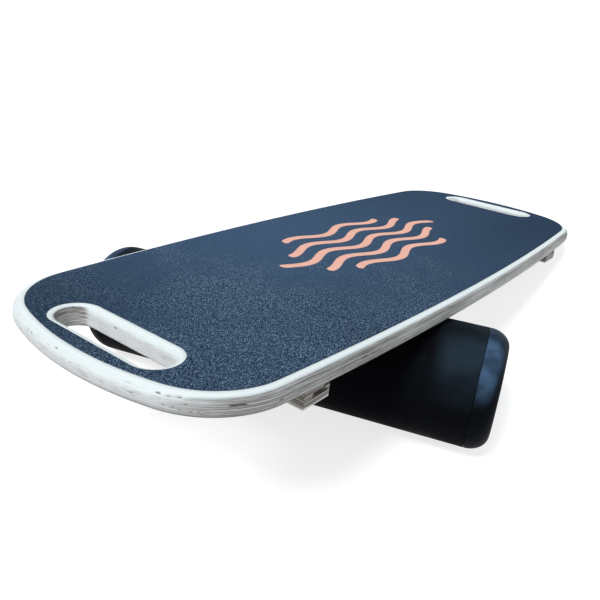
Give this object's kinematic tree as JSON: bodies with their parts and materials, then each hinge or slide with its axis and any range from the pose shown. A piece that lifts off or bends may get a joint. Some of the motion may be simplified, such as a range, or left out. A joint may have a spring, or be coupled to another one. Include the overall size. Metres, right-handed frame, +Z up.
{
  "type": "surf balance board",
  "caption": "Bowed plywood balance board with a gritty top face, hand slots and end stoppers, rocking on a loose capped roller.",
  "frame": {"origin": "on the floor, under the middle of the part's box", "axes": "+Z up, +X in plan along the deck towards the end that rests on the floor, +Y across the deck"},
  "size_m": [0.7322, 0.419, 0.185],
  "materials": {
    "deck_plywood": "whitewashed and lacquered plywood, satin",
    "grip_grit": "fine grit on a blue sheet, matt with a light sparkle",
    "stopper_plywood": "bare plywood with open edges",
    "screw_steel": "zinc plated",
    "pipe_plastic": "extruded plastic pipe",
    "sleeve_rubber": "black, satin",
    "cap_plastic": "black, moulded, satin"
  },
  "bodies": {
    "roller": {"roller_tube": "pipe_plastic", "roller_sleeve": "sleeve_rubber", "roller_cap_left": "cap_plastic", "roller_cap_right": "cap_plastic"},
    "board": {"deck": "deck_plywood", "grip_sheet": "grip_grit", "stopper_near": "stopper_plywood", "stopper_far": "stopper_plywood", "stopper_screw_near_1": "screw_steel", "stopper_screw_near_2": "screw_steel", "stopper_screw_near_3": "screw_steel", "stopper_screw_near_4": "screw_steel", "stopper_screw_far_1": "screw_steel", "stopper_screw_far_2": "screw_steel", "stopper_screw_far_3": "screw_steel", "stopper_screw_far_4": "screw_steel"}
  },
  "joints": [
    {"name": "board_rock", "type": "hinge", "parent": "roller", "child": "board", "pos_m": [-0.13398, 0, 0.056], "axis": [0.3083, -0.9513, 0], "range_deg": [0, 38.83]}
  ]
}
